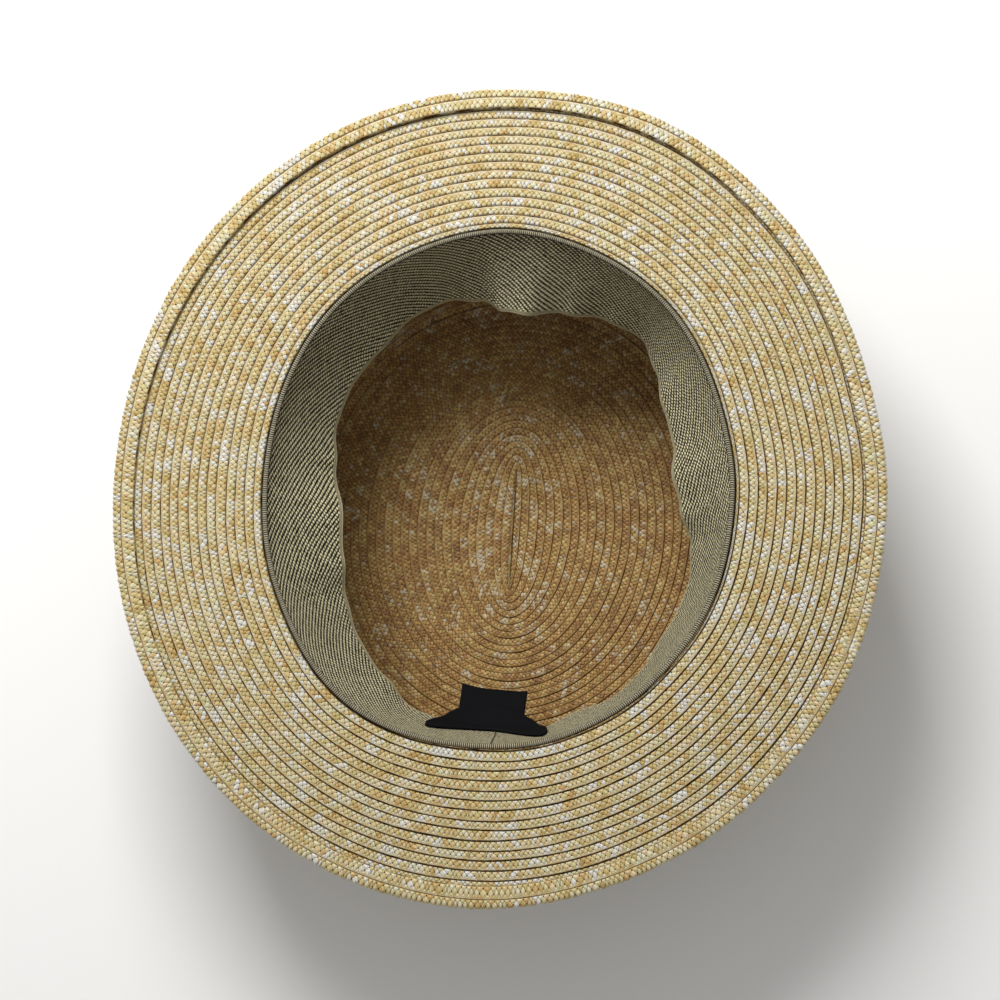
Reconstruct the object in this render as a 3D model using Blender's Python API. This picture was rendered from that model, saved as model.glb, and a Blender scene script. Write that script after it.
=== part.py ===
# A straw boater hat. It lies on the flat tip of its crown, as it would by itself,
# so its opening and the underside of its brim face up.
# Metres, +Z up, +Y towards the front of the hat, origin under the middle of its outline.

import math

import bmesh
import bpy

# Head opening, along the inner edge of the brim
MOUTH_HALF_WIDTH = 0.0903
MOUTH_HALF_LENGTH = 0.1010
HAND_WOBBLE = 0.0017        # how far the hand-sewn ovals stray from true ones

# Sewn straw of the crown and the brim
STRAW_WALL = 0.0020
CROWN_HEIGHT = 0.0840       # flat tip to the crown side of the brim
CROWN_TAPER = 0.0045        # how far the wall leans in between the brim and the tip
TIP_RADIUS = 0.0095         # outer radius of the corner between wall and tip
BRIM_WIDTH = 0.0560
BRIM_DROOP = 0.0030         # how far the loose rim sinks below the inner edge
BRIM_WAVE = 0.0016

# The two extra rows of braid sewn on round the rim
EDGE_BAND_WIDTH = 0.0082
EDGE_BAND_THICK = 0.0017
EDGE_BAND_OVERHANG = 0.0006

# Woven sweatband inside the opening, and the overlocked cord along its sewn edge
SWEATBAND_WIDTH = 0.0340
SWEATBAND_THICK = 0.0012
BAND_START_LEAN = 0.7       # lean at the sewn edge, as a share of the mean lean
CORD_DIAMETER = 0.0022

# Plain black labels at the centre back of the sweatband
LABEL_THICK = 0.0010
LABEL_WIDTH = 0.0462
LABEL_HEIGHT = 0.0160
LABEL_END_HEIGHT = 0.0028   # what is left of its height at its very ends
LABEL_LEFT_POWER = 4        # the higher, the squarer the end
LABEL_RIGHT_POWER = 14
LABEL_DROP = 0.0038         # how far its middle lies past the band's free edge
LABEL_ARCH = 0.0160         # how much higher on the band its ends lie
TAB_WIDTH = 0.0249
TAB_LENGTH = 0.0200
FLAP_DEGREES = 55           # lean of what is sewn on past the free edge

# Plain ribbon round the outside of the crown
RIBBON_WIDTH = 0.0380
RIBBON_THICK = 0.0010

SEAM_GAP = 0.0003           # clearance between pieces that are sewn together
TURN_STEPS = 72
BAND_TURN_STEPS = 96
CORNER_STEPS = 4
CORD_SIDES = 6

# Columns: angle in degrees, from wearer's left at 0 to the front at 90; how far the
# opening and the rim bulge out, and how far the rim lifts, as shares of the wobble and wave
OVAL_ROWS = (
    (0, 0.2, 0.0, 0.1),
    (20, -0.4, -0.9, -0.4),
    (45, 0.2, -0.5, 0.3),
    (70, -0.2, 0.4, 0.8),
    (90, 0.2, 0.0, 0.2),
    (112, -0.3, 0.5, -0.6),
    (140, 0.2, 0.4, 0.2),
    (180, -0.8, -0.4, 0.9),
    (205, -0.2, 0.0, 0.3),
    (233, 0.9, 0.1, -0.8),
    (270, -1.0, 0.0, -0.2),
    (290, -0.5, -0.5, 0.7),
    (315, 0.1, 0.0, -0.3),
    (336, 0.7, 0.5, -0.7),
)

# Columns: angle in degrees; how far the free edge of the sweatband reaches inwards,
# as a share of its width
SWEATBAND_ROWS = (
    (0, 0.60),
    (9, 0.67),
    (18, 0.58),
    (30, 0.56),
    (40, 0.44),
    (49, 0.33),
    (60, 0.42),
    (72, 0.60),
    (85, 0.80),
    (93, 0.76),
    (101, 0.54),
    (112, 0.40),
    (122, 0.40),
    (136, 0.50),
    (148, 0.49),
    (160, 0.52),
    (172, 0.65),
    (187, 0.80),
    (200, 0.76),
    (211, 0.63),
    (222, 0.56),
    (236, 0.50),
    (248, 0.35),
    (270, 0.30),
    (284, 0.27),
    (296, 0.325),
    (306, 0.27),
    (316, 0.29),
    (327, 0.36),
    (342, 0.37),
    (351, 0.44),
)

BRIM_BASE = CROWN_HEIGHT + SEAM_GAP
BRIM_TOP = BRIM_BASE + STRAW_WALL
CORD_RADIUS = CORD_DIAMETER / 2
SWEATBAND_TOP = BRIM_TOP - CORD_RADIUS - SEAM_GAP
SWEATBAND_INSET = SEAM_GAP + SWEATBAND_THICK


def clear_scene():
    for item in list(bpy.data.objects):
        bpy.data.objects.remove(item, do_unlink=True)


def around(rows, degrees, column):
    """Read a column of a table that goes round the hat, eased between its rows."""
    degrees %= 360
    following = next((i for i, row in enumerate(rows) if row[0] > degrees), 0)
    before = rows[following - 1]
    after = rows[following]
    span = (after[0] - before[0]) % 360
    share = ((degrees - before[0]) % 360) / span
    ease = (1 - math.cos(math.pi * share)) / 2
    return before[column] + (after[column] - before[column]) * ease


def oval(degrees, offset):
    """A point on the head oval, moved outwards by an offset along its normal."""
    turn = math.radians(degrees)
    x = MOUTH_HALF_WIDTH * math.cos(turn)
    y = MOUTH_HALF_LENGTH * math.sin(turn)
    across = MOUTH_HALF_LENGTH * math.cos(turn)
    along = MOUTH_HALF_WIDTH * math.sin(turn)
    length = math.hypot(across, along)
    return x + offset * across / length, y + offset * along / length


def mouth_bulge(degrees):
    return HAND_WOBBLE * around(OVAL_ROWS, degrees, 1)


def crown_point(degrees, depth_in, height):
    """A point of the crown, set in from the outer face of its wall at the brim."""
    share = height / CROWN_HEIGHT
    lean = CROWN_TAPER * (1 - share)
    offset = STRAW_WALL - depth_in - lean + mouth_bulge(degrees) * share
    x, y = oval(degrees, offset)
    return x, y, height


def brim_point(degrees, out, above):
    """A point of the brim, a distance out from its inner edge and above its crown side."""
    share = out / BRIM_WIDTH
    bulge = around(OVAL_ROWS, degrees, 1) * (1 - share) + around(OVAL_ROWS, degrees, 2) * share
    x, y = oval(degrees, out + HAND_WOBBLE * bulge)
    lift = BRIM_WAVE * around(OVAL_ROWS, degrees, 3) - BRIM_DROOP
    height = BRIM_BASE + lift * max(share, 0.0) ** 1.5
    return x, y, height + above


def sweatband_point(degrees, along, lift):
    """A point on the sweatband's inner face, or along what is sewn beyond its free edge."""
    reach = math.asin(around(SWEATBAND_ROWS, degrees, 1))
    start = reach * BAND_START_LEAN
    curl = 2 * (reach - start) / SWEATBAND_WIDTH
    lean = start + curl * min(along, SWEATBAND_WIDTH)
    inwards = (math.cos(start) - math.cos(lean)) / curl
    down = (math.sin(lean) - math.sin(start)) / curl
    beyond = along - SWEATBAND_WIDTH
    if beyond > 0:
        lean = max(math.radians(FLAP_DEGREES), lean)
        inwards += beyond * math.sin(lean)
        down += beyond * math.cos(lean)
    inwards += lift * math.cos(lean)
    x, y = oval(degrees, mouth_bulge(degrees) - SWEATBAND_INSET - inwards)
    return x, y, SWEATBAND_TOP - down + lift * math.sin(lean)


def new_material(name, colour, roughness):
    material = bpy.data.materials.new(name)
    material.use_nodes = True
    shader = material.node_tree.nodes["Principled BSDF"]
    shader.inputs["Base Color"].default_value = (*colour, 1.0)
    shader.inputs["Roughness"].default_value = roughness
    shader.inputs["Metallic"].default_value = 0.0
    return material


def add_piece(name, build, material, sharp_degrees=40):
    mesh = bpy.data.meshes.new(name)
    build.normal_update()
    build.to_mesh(mesh)
    build.free()
    mesh.materials.append(material)
    mesh.shade_smooth()
    mesh.set_sharp_from_angle(angle=math.radians(sharp_degrees))
    piece = bpy.data.objects.new(name, mesh)
    bpy.context.scene.collection.objects.link(piece)
    return piece


def join_rings(build, rings, closed_turn=True):
    """Span each pair of neighbouring rings with quads."""
    for inner, outer in zip(rings, rings[1:]):
        count = len(inner)
        for i in range(count if closed_turn else count - 1):
            j = (i + 1) % count
            build.faces.new((inner[i], inner[j], outer[j], outer[i]))


def turned_ring(build, point_at, steps):
    return [build.verts.new(point_at(360 * i / steps)) for i in range(steps)]


def loop_of_sections(section, steps):
    """A closed loop with the same section, a closed outline, at every step of the turn."""
    build = bmesh.new()
    rings = [turned_ring(build, point_at, steps) for point_at in section]
    join_rings(build, rings + rings[:1])
    bmesh.ops.recalc_face_normals(build, faces=build.faces)
    return build


def plate(point_at, columns, rows, thickness):
    """A thin curved plate between two copies of one grid of points."""
    build = bmesh.new()
    sides = []
    for lift in (0.0, thickness):
        grid = [[build.verts.new(point_at(u / columns, v / rows, lift)) for u in range(columns + 1)]
                for v in range(rows + 1)]
        join_rings(build, grid, closed_turn=False)
        sides.append(grid)
    lower, upper = (
        grid[0] + [row[-1] for row in grid[1:]] + grid[-1][-2::-1] + [row[0] for row in grid[-2:0:-1]]
        for grid in sides
    )
    join_rings(build, [lower, upper])
    bmesh.ops.recalc_face_normals(build, faces=build.faces)
    return build


def crown_section(radius, inset, floor):
    """Heights and insets of one face of the crown, from its top edge to its flat tip."""
    wall_heights = [CROWN_HEIGHT, CROWN_HEIGHT * 0.66, CROWN_HEIGHT * 0.33]
    section = [(inset, height) for height in wall_heights]
    for step in range(CORNER_STEPS + 1):
        turn = math.pi / 2 * step / CORNER_STEPS
        depth_in = inset + radius * (1 - math.cos(turn))
        section.append((depth_in, floor + radius * (1 - math.sin(turn))))
    return section


def make_crown(straw):
    build = bmesh.new()
    outer = crown_section(TIP_RADIUS, 0.0, 0.0)
    inner = crown_section(TIP_RADIUS - STRAW_WALL, STRAW_WALL, STRAW_WALL)
    rings = [
        turned_ring(build, lambda degrees, row=row: crown_point(degrees, *row), TURN_STEPS)
        for row in outer[::-1] + inner
    ]
    join_rings(build, rings)
    build.faces.new(rings[0])
    build.faces.new(rings[-1])
    bmesh.ops.recalc_face_normals(build, faces=build.faces)
    return add_piece("crown", build, straw)


def make_brim(straw):
    spots = [0.0, STRAW_WALL * 1.5]
    spots += [BRIM_WIDTH * share for share in (0.25, 0.5, 0.75, 1.0)]
    section = [(out, 0.0) for out in spots]
    section += [(out, STRAW_WALL) for out in spots[::-1]]
    turned = [lambda degrees, spot=spot: brim_point(degrees, *spot) for spot in section]
    return add_piece("brim", loop_of_sections(turned, TURN_STEPS), straw)


def make_brim_edge(straw):
    base = STRAW_WALL + SEAM_GAP
    outer = BRIM_WIDTH + EDGE_BAND_OVERHANG
    inner = outer - EDGE_BAND_WIDTH
    round_off = EDGE_BAND_THICK / 2
    section = [
        (inner + round_off / 2, base),
        (inner, base + round_off),
        (inner + round_off, base + EDGE_BAND_THICK),
        (outer - round_off, base + EDGE_BAND_THICK),
        (outer, base + round_off),
        (outer - round_off / 2, base),
    ]
    turned = [lambda degrees, spot=spot: brim_point(degrees, *spot) for spot in section]
    return add_piece("brim_edge", loop_of_sections(turned, TURN_STEPS), straw)


def make_sweatband(cloth):
    spots = [SWEATBAND_WIDTH * share for share in (0.0, 0.25, 0.5, 0.75, 1.0)]
    section = [(along, 0.0) for along in spots]
    section += [(along, -SWEATBAND_THICK) for along in spots[::-1]]
    turned = [lambda degrees, spot=spot: sweatband_point(degrees, *spot) for spot in section]
    return add_piece("sweatband", loop_of_sections(turned, BAND_TURN_STEPS), cloth)


def make_sweatband_cord(thread):
    def cord_spot(turn):
        out = -SEAM_GAP - CORD_RADIUS + CORD_RADIUS * math.cos(turn)
        height = BRIM_TOP + CORD_RADIUS * math.sin(turn)

        def point_at(degrees):
            x, y = oval(degrees, mouth_bulge(degrees) + out)
            return x, y, height
        return point_at

    turns = [2 * math.pi * side / CORD_SIDES for side in range(CORD_SIDES)]
    section = [cord_spot(turn) for turn in turns]
    return add_piece("sweatband_cord", loop_of_sections(section, BAND_TURN_STEPS), thread, 80)


def back_angle(sideways, along):
    """The turn, in degrees, at which a line along the back of the band lies this far sideways."""
    inset = MOUTH_HALF_LENGTH + sweatband_point(270, along, 0.0)[1]
    turn_radius = MOUTH_HALF_WIDTH - inset * MOUTH_HALF_LENGTH / MOUTH_HALF_WIDTH
    return 270 + math.degrees(math.asin(sideways / turn_radius))


def label_point(u, v, lift):
    side = math.sin(math.pi * (u - 1 / 2))
    power = LABEL_LEFT_POWER if side < 0 else LABEL_RIGHT_POWER
    height = max(LABEL_HEIGHT * math.sqrt(1 - abs(side) ** power), LABEL_END_HEIGHT)
    along = SWEATBAND_WIDTH + LABEL_DROP - LABEL_ARCH * side * side + height * (v - 1 / 2)
    degrees = back_angle(side * LABEL_WIDTH / 2, along)
    return sweatband_point(degrees, along, SEAM_GAP + lift)


def tab_point(u, v, lift):
    along = SWEATBAND_WIDTH + SEAM_GAP + TAB_LENGTH * v
    degrees = back_angle(TAB_WIDTH * (u - 1 / 2), along)
    return sweatband_point(degrees, along, lift - LABEL_THICK)


def make_ribbon(ribbon):
    top = CROWN_HEIGHT - SEAM_GAP
    heights = [top, top - RIBBON_WIDTH / 2, top - RIBBON_WIDTH]
    section = [(-SEAM_GAP, height) for height in heights]
    section += [(-SEAM_GAP - RIBBON_THICK, height) for height in heights[::-1]]
    turned = [lambda degrees, spot=spot: crown_point(degrees, *spot) for spot in section]
    return add_piece("hat_ribbon", loop_of_sections(turned, TURN_STEPS), ribbon)


def outline_centre():
    """Middle of the rim's outline, which the origin stands under."""
    rim = [brim_point(360 * i / TURN_STEPS, BRIM_WIDTH + EDGE_BAND_OVERHANG, 0.0) for i in range(TURN_STEPS)]
    middles = []
    for axis in (0, 1):
        values = [point[axis] for point in rim]
        middles.append((min(values) + max(values)) / 2)
    return middles


def main():
    clear_scene()
    brim_straw = new_material("brim straw", (0.72, 0.58, 0.30), 0.45)
    crown_straw = new_material("crown straw", (0.62, 0.46, 0.22), 0.50)
    edge_straw = new_material("edge straw", (0.76, 0.62, 0.35), 0.45)
    twill = new_material("olive twill", (0.28, 0.25, 0.15), 0.85)
    thread = new_material("tan overlock thread", (0.36, 0.31, 0.20), 0.80)
    label_cloth = new_material("black woven label", (0.012, 0.011, 0.012), 0.60)
    tab_cloth = new_material("black size tab", (0.016, 0.015, 0.016), 0.65)
    grosgrain = new_material("black grosgrain", (0.010, 0.010, 0.014), 0.70)
    pieces = [
        make_crown(crown_straw),
        make_brim(brim_straw),
        make_brim_edge(edge_straw),
        make_sweatband(twill),
        make_sweatband_cord(thread),
        add_piece("maker_label", plate(label_point, 18, 6, LABEL_THICK), label_cloth),
        add_piece("size_tab", plate(tab_point, 6, 4, LABEL_THICK), tab_cloth),
        make_ribbon(grosgrain),
    ]
    hat = bpy.data.objects.new("hat", None)
    bpy.context.scene.collection.objects.link(hat)
    middle_x, middle_y = outline_centre()
    hat.location = (-middle_x, -middle_y, 0.0)
    for piece in pieces:
        piece.parent = hat


main()
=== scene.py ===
import math
from functools import partial

import bmesh
import bpy
import numpy as np
from mathutils import Matrix, Vector


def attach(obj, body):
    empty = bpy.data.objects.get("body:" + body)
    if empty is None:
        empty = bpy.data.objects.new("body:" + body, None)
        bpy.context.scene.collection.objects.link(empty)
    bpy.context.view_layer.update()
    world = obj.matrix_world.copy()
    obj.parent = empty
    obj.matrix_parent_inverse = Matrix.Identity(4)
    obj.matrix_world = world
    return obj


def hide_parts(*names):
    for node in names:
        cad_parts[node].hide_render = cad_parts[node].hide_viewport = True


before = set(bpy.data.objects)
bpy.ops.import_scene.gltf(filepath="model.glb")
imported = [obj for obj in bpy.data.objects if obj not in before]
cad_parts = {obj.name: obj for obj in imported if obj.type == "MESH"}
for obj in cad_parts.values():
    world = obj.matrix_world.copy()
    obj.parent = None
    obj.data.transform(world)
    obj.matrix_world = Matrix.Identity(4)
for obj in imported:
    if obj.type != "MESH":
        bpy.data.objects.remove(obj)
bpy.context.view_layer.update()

print("stage: frame loaded, nodes", ", ".join(sorted(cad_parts)))

# The hat block: the sizes that every piece is shaped over, in metres and degrees
hatBlock = {
    "mouthHalfWidth": 0.0903,       # head opening, along the inner edge of the brim
    "mouthHalfLength": 0.1010,
    "handWobble": 0.0017,           # how far the hand-sewn ovals stray from true ones
    "strawWall": 0.0020,
    "seamGap": 0.0003,
    "crownHeight": 0.0840,
    "crownTaper": 0.0045,
    "tipRadius": 0.0095,
    "brimWidth": 0.0560,
    "brimDroop": 0.0030,
    "brimWave": 0.0016,
    # columns: angle, opening bulge, rim bulge, rim lift
    "ovalRows": (
        (0, 0.2, 0.0, 0.1), (20, -0.4, -0.9, -0.4), (45, 0.2, -0.5, 0.3), (70, -0.2, 0.4, 0.8),
        (90, 0.2, 0.0, 0.2), (112, -0.3, 0.5, -0.6), (140, 0.2, 0.4, 0.2), (180, -0.8, -0.4, 0.9),
        (205, -0.2, 0.0, 0.3), (233, 0.9, 0.1, -0.8), (270, -1.0, 0.0, -0.2), (290, -0.5, -0.5, 0.7),
        (315, 0.1, 0.0, -0.3), (336, 0.7, 0.5, -0.7),
    ),
}
brimBase = hatBlock["crownHeight"] + hatBlock["seamGap"]
brimTop = brimBase + hatBlock["strawWall"]


def readRound(rows, degrees, column):
    # reads a column of a table that goes round the hat, eased between its rows
    angles = np.array([row[0] for row in rows] + [360.0])
    values = np.array([row[column] for row in rows] + [rows[0][column]])
    degrees = np.mod(degrees, 360)
    after = np.searchsorted(angles[1:-1], degrees, side="right") + 1
    share = (degrees - angles[after - 1]) / (angles[after] - angles[after - 1])
    ease = (1 - np.cos(np.pi * share)) / 2
    return values[after - 1] + (values[after] - values[after - 1]) * ease


def ovalPlace(degrees, out):
    turn = np.radians(degrees)
    halfWidth, halfLength = hatBlock["mouthHalfWidth"], hatBlock["mouthHalfLength"]
    across, along = halfLength * np.cos(turn), halfWidth * np.sin(turn)
    length = np.hypot(across, along)
    x = halfWidth * np.cos(turn) + out * across / length - blockMiddle[0]
    y = halfLength * np.sin(turn) + out * along / length - blockMiddle[1]
    return x, y


def mouthBulge(degrees):
    return hatBlock["handWobble"] * readRound(hatBlock["ovalRows"], degrees, 1)


def brimPlace(degrees, out, above):
    rows = hatBlock["ovalRows"]
    share = out / hatBlock["brimWidth"]
    bulge = readRound(rows, degrees, 1) * (1 - share) + readRound(rows, degrees, 2) * share
    x, y = ovalPlace(degrees, out + hatBlock["handWobble"] * bulge)
    lift = hatBlock["brimWave"] * readRound(rows, degrees, 3) - hatBlock["brimDroop"]
    return np.stack([x, y, brimBase + lift * np.maximum(share, 0) ** 1.5 + above], -1)


def crownPlace(degrees, depthIn, height):
    share = height / hatBlock["crownHeight"]
    lean = hatBlock["crownTaper"] * (1 - share)
    x, y = ovalPlace(degrees, hatBlock["strawWall"] - depthIn - lean + mouthBulge(degrees) * share)
    return np.stack([x, y, height + 0 * x], -1)


# The frame's origin stands under the middle of the rim, so the block is moved there
blockMiddle = (0.0, 0.0)
rimPlaces = brimPlace(np.arange(0, 360, 5.0), hatBlock["brimWidth"] + 0.0006, 0.0)
blockMiddle = tuple((rimPlaces.min(0) + rimPlaces.max(0))[:2] / 2)

# The camera looks down into the opening, from the back and a little from the right
cameraFit = {
    "distance": 1.100,              # from the middle of the opening
    "leanBack": 10.8,               # how far the view leans off straight down, in degrees
    "leanSide": -5.6,
    "roll": 2.5,
    "pixelSize": 0.000377,          # one pixel at the opening
    "mouthPixel": (495.0, 487.2),   # where the middle of the opening shows
    "imageSide": 1000,
}


def makeCamera():
    tilt, side = math.radians(cameraFit["leanBack"]), math.radians(cameraFit["leanSide"])
    roll = math.radians(cameraFit["roll"])
    forward = Vector((math.sin(side), math.sin(tilt) * math.cos(side), -math.cos(tilt) * math.cos(side)))
    right = (Vector((1, 0, 0)) - forward * forward.x).normalized()
    up = right.cross(forward)
    right, up = (right * math.cos(roll) + up * math.sin(roll), up * math.cos(roll) - right * math.sin(roll))
    data = bpy.data.cameras.new("hatCamera")
    data.sensor_width = 36.0
    data.lens = 36.0 * cameraFit["distance"] / cameraFit["pixelSize"] / cameraFit["imageSide"]
    data.shift_x = (500 - cameraFit["mouthPixel"][0]) / cameraFit["imageSide"]
    data.shift_y = (cameraFit["mouthPixel"][1] - 500) / cameraFit["imageSide"]
    data.clip_start, data.clip_end = 0.05, 20
    camera = bpy.data.objects.new("hatCamera", data)
    target = Vector((-blockMiddle[0], -blockMiddle[1], brimTop))
    place = target - forward * cameraFit["distance"]
    camera.matrix_world = Matrix.Translation(place) @ Matrix((right, up, -forward)).transposed().to_4x4()
    bpy.context.scene.collection.objects.link(camera)
    bpy.context.scene.camera = camera


makeCamera()
print("stage: camera placed")

# Node materials, from the smallest helpers up


def fromHex(code):
    parts = [int(code[i:i + 2], 16) / 255 for i in (1, 3, 5)]
    return tuple(p / 12.92 if p <= 0.04045 else ((p + 0.055) / 1.055) ** 2.4 for p in parts) + (1.0,)


# The setting that holds a node's mode
nodeModes = {
    "Math": "operation",
    "MapRange": "interpolation_type",
    "Mix": "blend_type",
    "TexNoise": "noise_dimensions",
    "TexWhiteNoise": "noise_dimensions",
    "TexVoronoi": "voronoi_dimensions",
}


def addNode(tree, kind, *values, named=None, stops=(), **settings):
    # adds a node of a kind and mode, such as "Math ADD". Its inputs are values, sockets or other
    # nodes, in the order in which the node shows them, or by name.
    kind, _, mode = kind.partition(" ")
    node = tree.nodes.new("ShaderNode" + kind)
    if mode:
        settings[nodeModes[kind]] = mode
    for name, value in settings.items():
        setattr(node, name, value)
    shown = [socket for socket in node.inputs if socket.enabled]
    inputs = list(zip(shown, values)) + [(node.inputs[name], value) for name, value in (named or {}).items()]
    for socket, value in inputs:
        if isinstance(value, bpy.types.Node):
            value = next(output for output in value.outputs if output.enabled)
        if isinstance(value, bpy.types.NodeSocket):
            tree.links.new(value, socket)
        else:
            socket.default_value = value
    for number, (place, code) in enumerate(stops):
        ramp = node.color_ramp.elements
        element = ramp[number] if number < len(ramp) else ramp.new(place)
        element.position = place
        element.color = fromHex(code) if isinstance(code, str) else (code, code, code, 1.0)
    return node


# Settings that many nodes share: colours are mixed, and "smooth" fades from 0 at one value of its
# input to 1 at another, eased, or the other way round when the first is the larger.
smooth = "MapRange SMOOTHSTEP"
colours = {"data_type": "RGBA"}


def newMaterial(name, roughness, specular=None):
    material = bpy.data.materials.new(name)
    material.use_nodes = True
    tree = material.node_tree
    shader = tree.nodes["Principled BSDF"]
    shader.inputs["Roughness"].default_value = roughness
    shader.inputs["IOR"].default_value = 1.5
    if specular is not None:
        shader.inputs["Specular IOR Level"].default_value = specular
    return material, partial(addNode, tree), shader


def linkShader(shader, name, node):
    output = next(socket for socket in node.outputs if socket.enabled)
    node.id_data.links.new(output, shader.inputs[name])


def surfacePlace(add):
    # along and across the surface, as each piece's own UV map counts them
    parts = add("SeparateXYZ", add("UVMap", uv_map="surface"))
    return parts.outputs["X"], parts.outputs["Y"]


# Sewn wheat-straw braid: glossy split straws, plaited flat and sewn in overlapping rows.
# It gives the eye rows of small slanting cells, leaning one way and then the other, in cream,
# straw and gold, a thin folded edge beside them, and painted shade: dark ticks where their
# corners meet and a dark line where the next row dips. Inside the crown the tones are darker
# and browner, painted shade for the hollow of the crown, and evener.
strawLook = {
    "brim": {
        "tones": ((0.22, "#FFFBE6"), (0.34, "#FFF6D4"), (0.45, "#FCEDBE"), (0.55, "#F4E0A4"),
                  (0.66, "#EACD88"), (0.78, "#DEB66C"), (0.90, "#CA9650")),
        "white": "#FFFCEE",
        "whiteFrom": 0.69,      # the draw above which a cell is white
        "whiteMost": 1.0,
        "paintedGlint": 0.25,        # how far the brightest grains are painted white, as painted glints
        "edge": ((0.25, "#8F7350"), (0.5, "#C4A87C"), (0.75, "#EAD8B4")),
        "edgeLike": 0.45,       # how much the folded edge looks like the plait beside it
        # how dark the painted shade is between cells and in the dip between rows, and its colour
        "gapShade": 1.0,
        "dipShade": 1.0,
        "speckle": 0.50,
        "grooveShade": "#54340F",
        "roughness": 0.36,
        "gloss": 0.5,
    },
    "crown": {
        # darker, browner tones than the brim's: painted shade for the inside of the crown
        "tones": ((0.22, "#F8DB94"), (0.34, "#E9BF70"), (0.45, "#D9AA59"), (0.55, "#C89547"),
                  (0.66, "#B68037"), (0.78, "#9E672A"), (0.90, "#7F4D1C")),
        "white": "#FFF2D0",
        "whiteFrom": 0.76,
        "whiteMost": 0.75,
        "paintedGlint": 0.85,
        "edge": ((0.25, "#8E6A37"), (0.5, "#AC8649"), (0.75, "#C6A365")),
        "edgeLike": 0.7,
        # how dark the painted shade is between cells and in the dip between rows, and its colour
        "gapShade": 1.0,
        "dipShade": 0.42,
        "speckle": 0.26,
        "grooveShade": "#432810",
        "roughness": 0.33,
        "gloss": 0.6,
    },
    # tints laid over single cells, from greenish to pinkish
    "tints": ((0.0, "#ECF0DA"), (0.3, "#FAFBEE"), (0.7, "#FFFBF2"), (1.0, "#FFEDDE")),
    "clusterLength": 2.4,       # cells that tend to be alike
    "whiteStart": 600.0,        # cells from a braid's start over which its straw is whiter
    "startWhite": 0.14,         # and by how much its draws are raised there
    "clusterWhite": 0.55,       # share of the draw for white straws that a cluster has in common
    "whiteFade": 0.14,
    # where the painted glints fade in over the grain
    "paintedGlintFade": (0.56, 0.66),
    "toneShares": {"cell": 0.36, "cluster": 0.20, "fibre": 0.16, "grain": 0.28},
    "otherSet": 20000.0,        # counts the falling straws apart from the rising ones
    "sideStray": 0.4,           # how uneven a straw's sides are
    "grainScale": 1700.0,
    "edgeFibres": (0.45, 14.0), # how fast the folded edge's fibres change, along the row and across
    "firstBead": 0.24,          # where, across the row, the first line of cells has its middle
    "beadPitch": 0.36,          # and how much further out the next line has it
    "cellZone": 0.84,           # share of a row that is plaited, the rest is its folded edge
    "beadBulge": 0.00042,
    "fibresPerStraw": 2.0,
    "fibreDepth": 0.00008,
    "grainDepth": 0.00004,
    # painted shade lines: where each fades in, counted from a straw's middle or across the row, and how dark
    # each is painted
    "lines": {
        "tick": (1.44, 1.72),
        "side": (0.68, 0.96),
        "sideDepth": 0.52,
        "end": (0.80, 0.96),
        "endDepth": 0.34,
        "fibre": (0.20, 0.02),
        "fibreDepth": 0.22,
        "innerDip": (0.20, 0.08),
        "outerDip": (0.93, 1.0),
    },
}


def strawCells(add):
    # two sets of straws slant across the row, and each goes over one and under the next
    along, across = surfacePlace(add)
    side = add("Math PINGPONG", across, 1.1)            # folds the far face onto the near one
    zone = strawLook["cellZone"]
    plaited = add(smooth, side, zone + 0.04, zone)
    grain = add("TexNoise", named={"Scale": strawLook["grainScale"], "Detail": 2.0})
    slant = add("Math SUBTRACT", side, strawLook["firstBead"])
    slant = add("Math DIVIDE", slant, 2 * strawLook["beadPitch"])
    rising = add("Math ADD", along, slant)
    falling = add("Math SUBTRACT", along, slant)
    risingStraw = add("Math FLOOR", rising)
    fallingStraw = add("Math FLOOR", falling)
    fallsHere = add("Math MODULO", add("Math ADD", risingStraw, fallingStraw), 2.0)

    def ofTopStraw(whenRising, whenFalling):
        change = add("Math SUBTRACT", whenFalling, whenRising)
        return add("Math MULTIPLY_ADD", fallsHere, change, whenRising)

    def fromMiddle(place):
        # 0 on a straw's middle line and 1 at its side, a little uneven
        away = add("Math MULTIPLY_ADD", add("Math PINGPONG", place, 0.5), -2.0, 1.0)
        stray = add("Math SUBTRACT", grain, 0.5)
        return add("Math MULTIPLY_ADD", stray, strawLook["sideStray"], away)

    awayRising, awayFalling = fromMiddle(rising), fromMiddle(falling)
    otherSet = add("Math ADD", fallingStraw, strawLook["otherSet"])
    return {
        "along": along,
        "side": side,
        "plaited": plaited,
        "grain": grain,
        "sideways": ofTopStraw(awayRising, awayFalling),
        "endways": ofTopStraw(awayFalling, awayRising),
        "straw": ofTopStraw(risingStraw, otherSet),
        "fibres": add("Math MULTIPLY", ofTopStraw(rising, falling), strawLook["fibresPerStraw"]),
    }


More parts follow.
